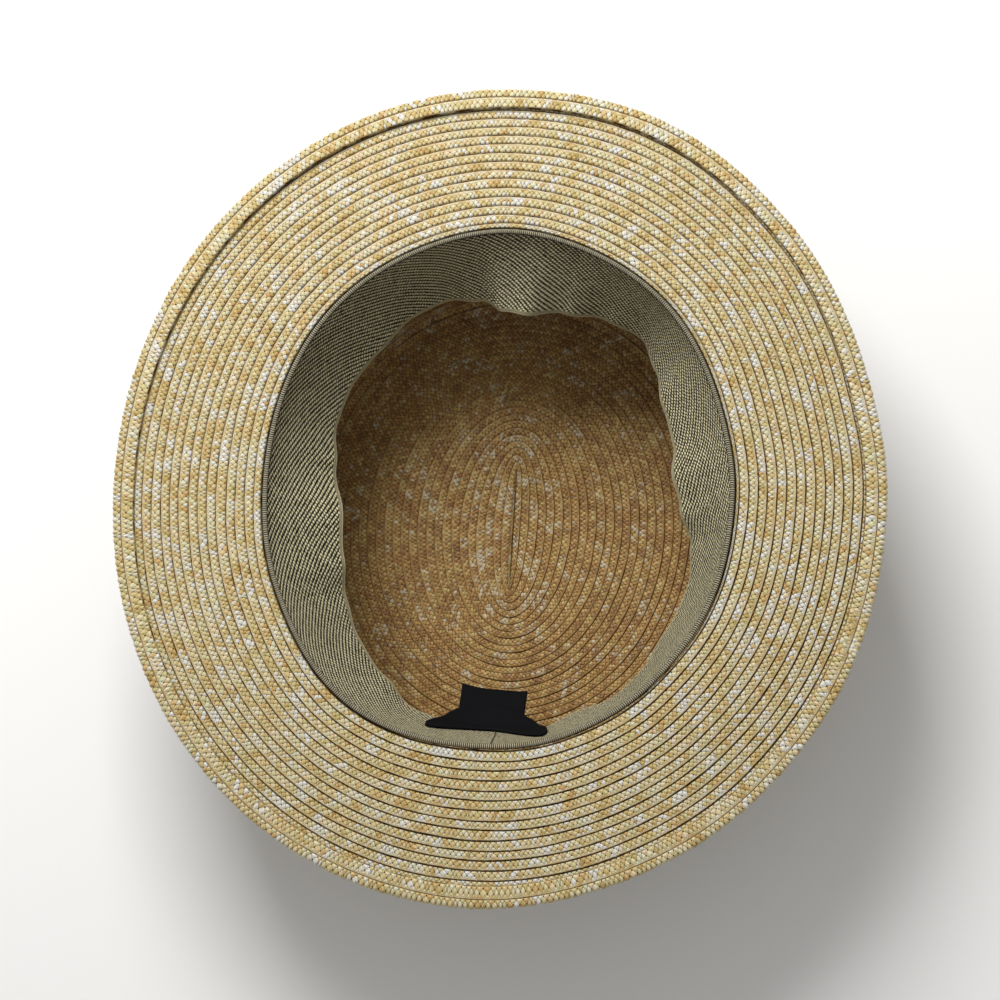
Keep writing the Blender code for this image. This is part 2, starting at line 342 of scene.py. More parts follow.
def strawColour(add, look, cells):
    # each cell has its own straw, and neighbours along the row are more or less alike
    share = strawLook["toneShares"]
    draw = add("TexWhiteNoise 1D", named={"W": cells["straw"]})
    clusterPlace = add("Math DIVIDE", cells["along"], strawLook["clusterLength"])
    cluster = add("TexVoronoi 1D", named={"W": clusterPlace, "Scale": 1.0})
    clusterDraw = add("SeparateColor", cluster.outputs["Color"])
    fibreDraw = add("TexWhiteNoise 1D", named={"W": add("Math FLOOR", cells["fibres"])})
    tone = add("Math MULTIPLY", clusterDraw, share["cluster"])
    tone = add("Math MULTIPLY_ADD", draw, share["cell"], tone)
    tone = add("Math MULTIPLY_ADD", fibreDraw, share["fibre"], tone)
    tone = add("Math MULTIPLY_ADD", cells["grain"], share["grain"], tone)
    colour = add("ValToRGB", tone, stops=look["tones"])
    cellDraw = add("SeparateColor", draw.outputs["Color"])
    tint = add("ValToRGB", cellDraw.outputs[1], stops=strawLook["tints"])
    colour = add("Mix MULTIPLY", 0.9, colour, tint, **colours)
    # white straws, and painted glints on the brightest grains
    whiteDraw = add("Math MULTIPLY", clusterDraw.outputs[2], strawLook["clusterWhite"])
    whiteDraw = add("Math MULTIPLY_ADD", cellDraw.outputs[2], 1 - strawLook["clusterWhite"], whiteDraw)
    atStart = add(smooth, cells["along"], strawLook["whiteStart"], strawLook["whiteStart"] / 2)
    whiteDraw = add("Math MULTIPLY_ADD", atStart, strawLook["startWhite"], whiteDraw)
    whiteness = add(smooth, whiteDraw, look["whiteFrom"], look["whiteFrom"] + strawLook["whiteFade"])
    whiteness = add("Math MULTIPLY", whiteness, look["whiteMost"])
    # painted glints: the brightest grains are painted white
    paintedGlint = add("Math MULTIPLY", add(smooth, cells["grain"], *strawLook["paintedGlintFade"]), look["paintedGlint"])
    whiteness = add("Math MAXIMUM", whiteness, paintedGlint)
    return add("Mix", whiteness, colour, fromHex(look["white"]), **colours)


def strawShade(add, look, cells):
    # painted shade: dark ticks where cells meet corner to corner, thin lines between cells, fainter ones
    # between fibres, and where the row dips under its inner neighbour or drops off its folded edge
    lines = strawLook["lines"]
    unevenPlace = add("Math MULTIPLY", cells["along"], 0.3)
    unevenness = add("TexNoise 1D", named={"W": unevenPlace, "Scale": 1.0, "Detail": 2.0})
    uneven = add(smooth, unevenness, 0.3, 0.66)
    tick = add(smooth, add("Math ADD", cells["sideways"], cells["endways"]), *lines["tick"])
    sideLine = add("Math MULTIPLY", add(smooth, cells["sideways"], *lines["side"]), lines["sideDepth"])
    endLine = add("Math MULTIPLY", add(smooth, cells["endways"], *lines["end"]), lines["endDepth"])
    fibreLine = add(smooth, add("Math PINGPONG", cells["fibres"], 0.5), *lines["fibre"])
    fibreLine = add("Math MULTIPLY", fibreLine, cells["plaited"])
    shade = add("Math MAXIMUM", tick, add("Math MAXIMUM", sideLine, endLine))
    shade = add("Math MAXIMUM", shade, add("Math MULTIPLY", fibreLine, lines["fibreDepth"]))
    # the painted shade is lighter on the folded edge
    onFold = add("Math MULTIPLY_ADD", cells["plaited"], 0.6, 0.4)
    shade = add("Math MULTIPLY", add("Math MULTIPLY", shade, onFold), look["gapShade"])
    inner, outer = (add(smooth, cells["side"], *lines[name]) for name in ("innerDip", "outerDip"))
    dip = add("Math MULTIPLY", add("Math MAXIMUM", inner, outer), look["dipShade"])
    dip = add("Math MULTIPLY", dip, add("Math MULTIPLY_ADD", uneven, 0.6, 0.4))
    return add("Math MAXIMUM", shade, dip), fibreLine


def makeStraw(name, look):
    material, add, shader = newMaterial(name, look["roughness"])
    cells = strawCells(add)
    plaitColour = strawColour(add, look, cells)
    # the folded edge: long fibres along the row
    edgeAlong, edgeAcross = strawLook["edgeFibres"]
    edgePlace = add("CombineXYZ", add("Math MULTIPLY", cells["along"], edgeAlong),
                    add("Math MULTIPLY", cells["side"], edgeAcross))
    edgeFibre = add("TexNoise 2D", named={"Vector": edgePlace, "Scale": 1.0, "Detail": 3.0})
    edgeColour = add("ValToRGB", edgeFibre, stops=look["edge"])
    edgeColour = add("Mix", look["edgeLike"], edgeColour, plaitColour, **colours)
    colour = add("Mix", cells["plaited"], edgeColour, plaitColour, **colours)
    speckle = add("ValToRGB", cells["grain"], stops=((0.32, look["speckle"]), (0.60, 1.0)))
    colour = add("Mix MULTIPLY", 0.9, colour, speckle, **colours)
    shade, fibreLine = strawShade(add, look, cells)
    # painted shade: the groove colour is laid over the straw where the shade mask is
    linkShader(shader, "Base Color", add("Mix", shade, colour, fromHex(look["grooveShade"]), **colours))
    # the gloss is lowered where the painted shade lies
    gloss = look["gloss"]
    linkShader(shader, "Specular IOR Level", add("Math MULTIPLY_ADD", shade, -gloss, gloss, use_clamp=True))
    plumpAcross = add(smooth, cells["sideways"], 1.05, 0.0)
    plump = add("Math MULTIPLY", plumpAcross, add(smooth, cells["endways"], 1.05, 0.3))
    plump = add("Math MULTIPLY", plump, cells["plaited"])
    height = add("Math MULTIPLY", plump, strawLook["beadBulge"])
    height = add("Math MULTIPLY_ADD", fibreLine, -strawLook["fibreDepth"], height)
    height = add("Math MULTIPLY_ADD", cells["grain"], strawLook["grainDepth"], height)
    height = add("Math MULTIPLY_ADD", edgeFibre, strawLook["grainDepth"], height)
    linkShader(shader, "Normal", add("Bump", named={"Height": height, "Distance": 1.0, "Strength": 0.9}))
    return material


brimStraw = makeStraw("wheat straw braid, sewn brim rows", strawLook["brim"])
crownStraw = makeStraw("wheat straw braid, sewn crown rows", strawLook["crown"])
print("stage: straw materials made")

# Shapes


def shapeGrid(name, columns, rows, placeOf, surfaceOf, material, mergeWithin=1e-6):
    # bends a flat grid to shape, joins the edges that meet and closes the open ends
    build = bmesh.new()
    bmesh.ops.create_grid(build, x_segments=columns, y_segments=rows, size=0.5)
    mesh = bpy.data.meshes.new(name)
    build.to_mesh(mesh)
    build.free()
    flat = np.empty(len(mesh.vertices) * 3)
    mesh.vertices.foreach_get("co", flat)
    column = np.rint((flat[0::3] + 0.5) * columns).astype(int)
    row = np.rint((flat[1::3] + 0.5) * rows).astype(int)
    mesh.vertices.foreach_set("co", placeOf(column, row).ravel())
    corner = np.empty(len(mesh.loops), np.int32)
    mesh.loops.foreach_get("vertex_index", corner)
    layer = mesh.uv_layers.new(name="surface")
    layer.data.foreach_set("uv", surfaceOf(column, row)[corner].ravel())
    build = bmesh.new()
    build.from_mesh(mesh)
    bmesh.ops.remove_doubles(build, verts=build.verts, dist=mergeWithin)
    openEdges = [edge for edge in build.edges if edge.is_boundary]
    if openEdges:
        bmesh.ops.holes_fill(build, edges=openEdges, sides=0)
    bmesh.ops.recalc_face_normals(build, faces=build.faces)
    build.to_mesh(mesh)
    build.free()
    mesh.shade_smooth()
    mesh.materials.append(material)
    piece = bpy.data.objects.new(name, mesh)
    bpy.context.scene.collection.objects.link(piece)
    return piece


def addPiece(piece, slot, *nodes):
    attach(piece, "root")
    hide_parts(*nodes)
    triangles = sum(len(face.vertices) - 2 for face in piece.data.polygons)
    print("stage:", piece.name, "made,", triangles, "triangles")
    return piece


# How one row of braid lies: tucked under its inner neighbour, rising outwards, its smooth
# folded edge on top of its outer neighbour. Its two lines of cells lie half a cell apart.
braid = {
    "cellLength": 0.0020,       # one straw to the next along the row
    "cellStray": 0.40,          # how far the cells' ends stray, in cells
    "cellRelief": 0.00042,
    "thickness": hatBlock["strawWall"],
    "widthWobble": 0.09,        # how far row edges stray, in rows
    "heightWobble": 0.00022,
    "foldWobble": 0.05,         # how far the folded edge's inner side strays, in rows
    "shownAcross": (0.0, 1.0),  # the part of the plait's width that the section shows
    "countFrom": 0,             # cells counted before this braid's first one
    # columns: place across the row, height in thicknesses, share of the cell relief,
    # how far its cells lie on along the row, scallop
    "section": (
        (-0.18, -0.74, 0.0, 0.0, 0), (0.09, -0.46, 0.2, 0.0, 0), (0.24, 0.00, 1.0, 0.0, 0),
        (0.42, 0.03, 0.5, 0.25, 0), (0.60, 0.01, 0.8, 0.5, 0), (0.82, -0.06, 0.2, 0.5, 0),
        (0.91, 0.02, 0.1, 0.5, 0), (1.01, -0.06, 0.2, 0.5, 0.05), (0.97, -0.46, 0.0, 0.5, 0.03),
        (0.25, -0.97, -0.3, 0.0, 0),
    ),
}


def slowNoise(place, perUnit, seed):
    # an even wander between -1 and 1 along a length
    draws = np.random.default_rng(seed).uniform(-1, 1, 4000)
    place = np.maximum((place + 2) * perUnit, 0)
    lower = np.floor(place).astype(int)
    share = place - lower
    ease = share * share * (3 - 2 * share)
    return draws[lower % len(draws)] * (1 - ease) + draws[(lower + 1) % len(draws)] * ease


def spiralEdges(rowCount, seed):
    # the inner and outer edge of a row, counted in rows, at each turn of one long braid
    wobble = braid["widthWobble"]

    def edge(turn):
        stray = 0.6 * slowNoise(turn, 9, seed) + 0.5 * slowNoise(turn, 41, seed + 5)
        return np.clip(turn + wobble * stray * np.clip(turn, 0, 1), 0, rowCount)

    return lambda turn: (edge(turn - 1), edge(turn))


def sewRows(name, surface, edges, wholeRun, turns, steps, seed, material, look=braid):
    # wholeRun is all the turns of the braid, and turns the stretch of it that this piece is
    fine = np.arange(wholeRun[0], wholeRun[1] + 1e-6, 1 / 720)
    inner, outer = edges(fine)
    path = surface(fine, (inner + outer) / 2, 0 * fine)
    travelled = np.concatenate([[0.0], np.cumsum(np.linalg.norm(np.diff(path, axis=0), axis=1))])
    cellLength = look["cellLength"]
    firstCell, lastCell = (int(np.interp(turn, fine, travelled) / cellLength) for turn in turns)
    firstCell = max(firstCell, 1)
    section = np.array(look["section"])
    sides = len(section)
    shownFrom, shownTo = look["shownAcross"]
    cellHeight = np.random.default_rng(seed + 1).normal(1.0, 0.32, lastCell + 3)

    def placeOf(column, row):
        part = section[row % sides]
        cell = firstCell + column / steps
        cell = cell + look["cellStray"] * slowNoise(cell, 0.6, seed + 3)
        turn = np.interp(cell * cellLength, travelled, fine)
        inner, outer = edges(turn)
        phase = (column % steps) / steps + part[:, 3]
        relief = (0.5 - 0.5 * np.cos(2 * np.pi * phase)) * cellHeight[firstCell + column // steps]
        stray = slowNoise(cell, 0.3, seed + 4) * np.sin(np.pi * np.clip(part[:, 0], 0, 1))
        stray = look["foldWobble"] * stray
        place = inner + (outer - inner) * (part[:, 0] + stray + part[:, 4] * relief)
        height = look["thickness"] * part[:, 1] + look["cellRelief"] * part[:, 2] * relief
        return surface(turn, place, height + look["heightWobble"] * slowNoise(turn, 29, seed + 2))

    nearSides = 1 + int(np.argmax(section[:, 0]))

    def surfaceOf(column, row):
        # the far side is counted on from the near one, as the straw material folds it back
        across = np.concatenate([section[:nearSides, 0], 2.2 - section[nearSides:, 0], [2.4]])
        return np.stack([look["countFrom"] + firstCell + column / steps,
                         shownFrom + (shownTo - shownFrom) * across[row]], -1)

    return shapeGrid(name, (lastCell - firstCell) * steps, sides, placeOf, surfaceOf, material)


# The brim: one braid wound out from the opening, in three pieces. The outermost is a little coarser.
brimBraid = {
    "rows": 15.7,
    "startDegrees": 262,
    "seed": 11,
    # columns: piece, first turn, last turn, steps to a cell
    "pieces": (("brim_rows_inner", 0.1, 7.2, 3), ("brim_rows_outer", 7.2, 13.0, 3),
               ("brim_rows_rim", 13.0, 16.65, 2)),
}


def brimSurface(turn, place, height):
    out = np.clip(place, 0, brimBraid["rows"]) / brimBraid["rows"] * hatBlock["brimWidth"]
    return brimPlace(brimBraid["startDegrees"] + 360 * turn, out, hatBlock["strawWall"] + height)


def makeBrimRows():
    edges = spiralEdges(brimBraid["rows"], brimBraid["seed"])
    whole = (0.02, brimBraid["rows"] + 0.99)
    for name, first, last, steps in brimBraid["pieces"]:
        piece = sewRows(name, brimSurface, edges, whole, (first, last), steps, brimBraid["seed"], brimStraw)
        addPiece(piece, "brim_straw", "brim")


makeBrimRows()

# The edge: two more rows sewn on flat round the rim, which end in a lap. The outer one's outer
# side has small scallops.
edgeBand = {
    "width": 0.0082,
    "overhang": 0.0006,
    "thickness": 0.0017,
    "outerShare": 0.42,
    "lapDegrees": 338,
    "lapTurn": 0.045,           # how far the end lies over the beginning
    "lapLift": 0.0007,
    "cellLength": 0.0021,
    "heightWobble": 0.00006,
    "countFrom": 3000,
    "steps": 4,
    "wander": 0.00035,          # how far the seam beside each row strays
    "wandersPerTurn": 17,
    "seed": 41,
    "innerSection": (
        (0.02, -0.95, 0.0, 0.0, 0), (0.0, -0.50, 0.0, 0.0, 0.02), (0.07, -0.10, 0.3, 0.0, 0),
        (0.24, 0.01, 1.0, 0.0, 0), (0.42, 0.02, 0.5, 0.25, 0), (0.60, 0.00, 1.0, 0.5, 0),
        (0.82, -0.03, 0.2, 0.5, 0), (0.92, 0.06, 0.0, 0.0, 0), (0.99, -0.02, 0.0, 0.0, 0),
        (0.99, -0.95, 0.0, 0.0, 0), (0.50, -1.0, 0.0, 0.0, 0),
    ),
    "outerSection": (
        (0.01, -0.95, 0.0, 0.0, 0), (0.01, -0.10, 0.2, 0.0, 0), (0.22, 0.00, 1.0, 0.0, 0),
        (0.45, 0.00, 0.5, 0.25, 0), (0.70, -0.12, 1.0, 0.5, 0.03), (0.90, -0.36, 0.5, 0.5, 0.08),
        (0.94, -0.62, 0.2, 0.5, 0.10), (0.88, -0.92, 0.0, 0.5, 0.06), (0.50, -1.0, 0.0, 0.0, 0),
    ),
}


def edgeSurface(turn, place, height):
    lap = edgeBand["lapLift"] * np.clip((turn - 1) / edgeBand["lapTurn"], 0, 1)
    base = hatBlock["strawWall"] + hatBlock["seamGap"] + edgeBand["thickness"]
    return brimPlace(edgeBand["lapDegrees"] + 360 * turn, place, base + height + lap)


def makeEdgeRows():
    outer = hatBlock["brimWidth"] + edgeBand["overhang"]
    inner = outer - edgeBand["width"]
    middle = outer - edgeBand["outerShare"] * edgeBand["width"]
    own = ("cellLength", "thickness", "heightWobble", "countFrom")
    look = dict(braid, **{part: edgeBand[part] for part in own})
    whole = (-0.02, 1 + edgeBand["lapTurn"])

    def wander(turn):
        return edgeBand["wander"] * slowNoise(np.mod(turn, 1), edgeBand["wandersPerTurn"], edgeBand["seed"])

    def innerEdges(turn):
        return inner + wander(turn + 0.3), middle + wander(turn)

    def outerEdges(turn):
        return middle + wander(turn), outer + 0 * turn

    for name, edges, section, shown in (
        ("edge_row_inner", innerEdges, edgeBand["innerSection"], (0.05, 1.0)),
        ("edge_row_outer", outerEdges, edgeBand["outerSection"], (0.10, 0.83)),
    ):
        finish = dict(look, section=section, shownAcross=shown)
        piece = sewRows(name, edgeSurface, edges, whole, (0.0, whole[1]), edgeBand["steps"],
                        edgeBand["seed"], brimStraw, finish)
        addPiece(piece, "edge_straw", "brim_edge")


makeEdgeRows()

# The crown: one braid wound out from a straight core over the tip, round the corner and up the wall
crownBraid = {
    "tipRows": 22.75,
    "wallRows": 24.5,
    "coreHalfLength": 0.024,
    "startDegrees": 80,
    "seed": 71,
    "cellLength": 0.0018,
    "cellRelief": 0.00024,
    "section": (
        (-0.18, -0.60, 0.0, 0.0, 0), (0.07, -0.27, 0.2, 0.0, 0), (0.24, 0.00, 1.0, 0.0, 0),
        (0.60, 0.02, 0.8, 0.5, 0), (0.80, -0.02, 0.2, 0.5, 0), (0.92, 0.00, 0.1, 0.5, 0),
        (1.00, -0.09, 0.2, 0.5, 0.04), (0.97, -0.46, 0.0, 0.5, 0.03), (0.25, -0.95, -0.4, 0.0, 0),
    ),
}


def crownSurface(turn, place, height):
    degrees = crownBraid["startDegrees"] + 360 * turn
    radius, wall = hatBlock["tipRadius"], hatBlock["strawWall"]
    rim = crownPlace(degrees, radius, 0.0)
    share = np.clip(place / crownBraid["tipRows"], 0, 1)[:, None]
    coreAlong = crownBraid["coreHalfLength"] * np.sin(np.radians(degrees))
    core = np.stack([0 * degrees, coreAlong, 0 * degrees], -1)
    tip = (core - np.array([*blockMiddle, 0])) * (1 - share) + rim * share
    tip[:, 2] = wall + height
    # past the flat tip the place is measured round the corner, then straight up
    middleRadius = radius - wall / 2
    corner = middleRadius * math.pi / 2
    reach = corner + hatBlock["crownHeight"] - radius
    along = np.clip((place - crownBraid["tipRows"]) / crownBraid["wallRows"], 0, 1) * reach
    bend = np.minimum(along / middleRadius, math.pi / 2)
    inside = radius - wall - height
    depthIn = radius - inside * np.sin(bend)
    climb = radius - inside * np.cos(bend) + np.maximum(along - corner, 0)
    side = crownPlace(degrees, depthIn, np.minimum(climb, hatBlock["crownHeight"]))
    return np.where((place > crownBraid["tipRows"])[:, None], side, tip)


def makeCrownRows():
    rows = crownBraid["tipRows"] + crownBraid["wallRows"]
    edges = spiralEdges(rows, crownBraid["seed"])
    whole = (0.02, rows + 0.99)
    look = dict(braid, **{part: crownBraid[part] for part in ("section", "cellLength", "cellRelief")})
    coarse = dict(look, cellLength=2 * crownBraid["cellLength"])
    for name, turns, steps, finish in (
        ("crown_rows_tip", (0.1, 22.9), 2, look),
        ("crown_rows_wall", (22.9, 36.9), 2, look),
        ("crown_rows_under_ribbon", (36.9, rows + 0.9), 1, coarse),
    ):
        piece = sewRows(name, crownSurface, edges, whole, turns, steps, crownBraid["seed"], crownStraw,
                        finish)
        addPiece(piece, "crown_straw", "crown")


makeCrownRows()

# The sweatband: a twill tape sewn along the opening, which leans inwards in soft waves
sweatband = {
    "width": 0.0340,
    "thickness": 0.0012,
    "startLean": 0.7,
    "columns": 420,
    "faceRows": 20,
    "backRows": 6,
    "flapLean": 55,             # lean of what is sewn on past its free edge, in degrees
    "cordDiameter": 0.0022,
    "pucker": 0.00018,          # how much the sewing draws it up, and how often round the hat
    "puckersPerTurn": 60,
    # columns: angle, reach of the free edge inwards as a share of the width
    "reachRows": (
        (0, 0.60), (9, 0.67), (18, 0.58), (30, 0.56), (40, 0.44), (49, 0.33), (60, 0.42), (72, 0.60),
        (85, 0.80), (93, 0.76), (101, 0.54), (112, 0.40), (122, 0.40), (136, 0.50), (148, 0.49),
        (160, 0.52), (172, 0.65), (187, 0.80), (200, 0.76), (211, 0.63), (222, 0.56), (236, 0.50),
        (248, 0.35), (270, 0.30), (284, 0.27), (296, 0.325), (306, 0.27), (316, 0.29), (327, 0.36),
        (342, 0.37), (351, 0.44),
    ),
}
bandTop = brimTop - sweatband["cordDiameter"] / 2 - hatBlock["seamGap"]
bandLength = 2 * math.pi * (hatBlock["mouthHalfWidth"] + hatBlock["mouthHalfLength"]) / 2


def bandPlace(degrees, along, lift):
    width = sweatband["width"]
    reach = np.arcsin(readRound(sweatband["reachRows"], degrees, 1))
    start = reach * sweatband["startLean"]
    curl = 2 * (reach - start) / width
    lean = start + curl * np.minimum(along, width)
    inwards = (np.cos(start) - np.cos(lean)) / curl
    down = (np.sin(lean) - np.sin(start)) / curl
    beyond = np.maximum(along - width, 0)
    lean = np.where(along > width, np.maximum(math.radians(sweatband["flapLean"]), lean), lean)
    inwards = inwards + beyond * np.sin(lean) + lift * np.cos(lean)
    down = down + beyond * np.cos(lean)
    inset = hatBlock["seamGap"] + sweatband["thickness"]
    x, y = ovalPlace(degrees, mouthBulge(degrees) - inset - inwards)
    return np.stack([x, y, bandTop - down + lift * np.sin(lean)], -1)


def sheetSurface(columns, size, share, isBack):
    # in millimetres along a sheet and across it, its back counted on from the far edge
    across = np.append(np.where(isBack, 2 - share, share), 2.0)

    def surfaceOf(column, row):
        return np.stack([1000 * size[0] * column / columns, 1000 * size[1] * across[row]], -1)

    return surfaceOf


def makeSweatband(cloth):
    face = np.linspace(0.0, 1.0, sweatband["faceRows"] + 1)
    back = np.linspace(0.985, 0.02, sweatband["backRows"] + 1)
    share = np.concatenate([face, [1.008], back])
    lift = np.concatenate([0 * face, [-0.5], 0 * back - 1])

    def placeOf(column, row):
        row = row % len(share)
        degrees = 360.0 * column / sweatband["columns"]
        pucker = slowNoise(degrees / 360 % 1, sweatband["puckersPerTurn"], 5) * (1 - share[row])
        height = lift[row] * sweatband["thickness"] + sweatband["pucker"] * pucker
        return bandPlace(degrees, share[row] * sweatband["width"], height)

    size = (bandLength, sweatband["width"])
    surfaceOf = sheetSurface(sweatband["columns"], size, share, lift < 0)
    piece = shapeGrid("sweatband_tape", sweatband["columns"], len(share), placeOf, surfaceOf, cloth)
    addPiece(piece, "twill", "sweatband")


# Overlock thread wrapped over the tape's sewn edge: a row of small slanting beads
overlock = {
    "beadLength": 0.00082,
    "steps": 3,
    "sides": 8,
    "lean": 0.5,
    "relief": 0.32,
    "threadDepth": 0.00012,
    # from the painted shade in the gaps between bars to the bars' own tone
    "tones": ((0.0, "#1C1912"), (0.5, "#756D56"), (1.0, "#B9B096")),
}


def makeOverlock(thread):
    beads = int(bandLength / overlock["beadLength"])
    columns = beads * overlock["steps"]
    plump = np.random.default_rng(9).normal(1.0, 0.12, beads + 1)

    def placeOf(column, row):
        angle = 2 * math.pi * row / overlock["sides"]
        lag = overlock["lean"] * overlock["beadLength"] / bandLength * np.sin(angle)
        degrees = 360.0 * (column / columns + lag)
        phase = (column % overlock["steps"]) / overlock["steps"]
        swell = (1 - np.sin(np.pi * phase)) * plump[column // overlock["steps"]]
        swell = 1 - overlock["relief"] * swell
        radius = sweatband["cordDiameter"] / 2
        out = -hatBlock["seamGap"] - radius + radius * swell * np.cos(angle)
        x, y = ovalPlace(degrees, mouthBulge(degrees) + out)
        return np.stack([x, y, brimTop + radius * swell * np.sin(angle)], -1)

    def surfaceOf(column, row):
        return np.stack([column / overlock["steps"], row / overlock["sides"]], -1)

    piece = shapeGrid("sweatband_overlock", columns, overlock["sides"], placeOf, surfaceOf, thread)
    addPiece(piece, "overlock_thread", "sweatband_cord")


# Two plain black woven labels at the centre back
label = {
    "thickness": 0.0010,
    "width": 0.0462,
    "height": 0.0160,
    "endHeight": 0.0028,        # what is left of its height at its very ends
    "leftPower": 4,             # the higher, the squarer the end
    "rightPower": 14,
    "drop": 0.0038,             # how far its middle lies past the band's free edge
    "arch": 0.0160,             # how much higher on the band its ends lie
    "fullness": 0.9,            # its area, as a share of width times height
    "columns": 72,
    "rows": 14,
}
sizeTab = {"thickness": 0.0010, "width": 0.0249, "length": 0.0200, "columns": 32, "rows": 12}


def backDegrees(sideways, along):
    # the turn at which a line along the back of the band lies this far sideways
    halfWidth, halfLength = hatBlock["mouthHalfWidth"], hatBlock["mouthHalfLength"]
    inset = halfLength + blockMiddle[1] + bandPlace(270 + 0 * along, along, 0.0)[:, 1]
    return 270 + np.degrees(np.arcsin(sideways / (halfWidth - inset * halfLength / halfWidth)))


def labelPlace(u, v, lift):
    side = np.sin(np.pi * (u - 1 / 2))
    power = np.where(side < 0, label["leftPower"], label["rightPower"])
    height = np.maximum(label["height"] * np.sqrt(1 - np.abs(side) ** power), label["endHeight"])
    along = sweatband["width"] + label["drop"] - label["arch"] * side * side + height * (v - 1 / 2)
    return bandPlace(backDegrees(side * label["width"] / 2, along), along, hatBlock["seamGap"] + lift)


def tabPlace(u, v, lift):
    along = sweatband["width"] + hatBlock["seamGap"] + sizeTab["length"] * v
    degrees = backDegrees(sizeTab["width"] * (u - 1 / 2), along)
    return bandPlace(degrees, along, lift - sizeTab["thickness"])


def makeLabel(name, look, place, size, cloth, node):
    face = np.linspace(0, 1, look["rows"] + 1)
    share = np.concatenate([face, face[::-1]])
    lift = np.concatenate([0 * face + 1, 0 * face])

    def placeOf(column, row):
        row = row % len(share)
        return place(column / look["columns"], share[row], look["thickness"] * lift[row])

    surfaceOf = sheetSurface(look["columns"], size, share, lift < 0.5)
    piece = shapeGrid(name, look["columns"], len(share), placeOf, surfaceOf, cloth)
    addPiece(piece, "black_label", node)
    return piece


# A plain grosgrain ribbon round the outside of the crown, against the brim
ribbon = {"width": 0.0380, "thickness": 0.0010, "ribLength": 0.00095, "ribDepth": 0.00012, "rows": 6}


def makeRibbon(cloth):
    size = (bandLength, ribbon["width"])
    columns = 2 * int(size[0] / ribbon["ribLength"])
    top = hatBlock["crownHeight"] - hatBlock["seamGap"]
    face = np.linspace(0, 1, ribbon["rows"] + 1)
    share = np.concatenate([face, [1.0, 0.5, 0.0]])
    lift = np.concatenate([0 * face + 1, [0, 0, 0]])

    def placeOf(column, row):
        row = row % len(share)
        rib = ribbon["ribDepth"] * (column % 2) * lift[row]
        out = hatBlock["seamGap"] + ribbon["thickness"] * lift[row] - rib
        return crownPlace(360.0 * column / columns, -out, top - ribbon["width"] * share[row])

    surfaceOf = sheetSurface(columns, size, share, lift < 0.5)
    piece = shapeGrid("ribbon_grosgrain", columns, len(share), placeOf, surfaceOf, cloth)
    addPiece(piece, "black_grosgrain", "hat_ribbon")


# Olive cotton twill tape: steep diagonal ribs built of short slanting threads. It gives the
# eye light ribs with dark furrows of painted shade between them, and a fine flat selvedge at the free edge.
twillLook = {
    "ribSpacing": 1.62,         # mm
    "threadSpacing": 1.30,      # mm along a rib: real threads are about half that, too fine to show
    "ribTurn": 31,              # degrees between the ribs and the tape's edge
    "selvedge": 1.6,            # mm
    "joinDegrees": 272.4,       # where the tape's ends meet, at the centre back
    "joinWidth": 0.5,           # mm
    "ribWander": 0.7,
    "threadSlant": 0.8,
    "relief": 0.00035,
    "tones": ((0.08, "#17150D"), (0.40, "#9C926C"), (0.80, "#EEE4BC")),     # from the painted shade in the furrows to the rib
}


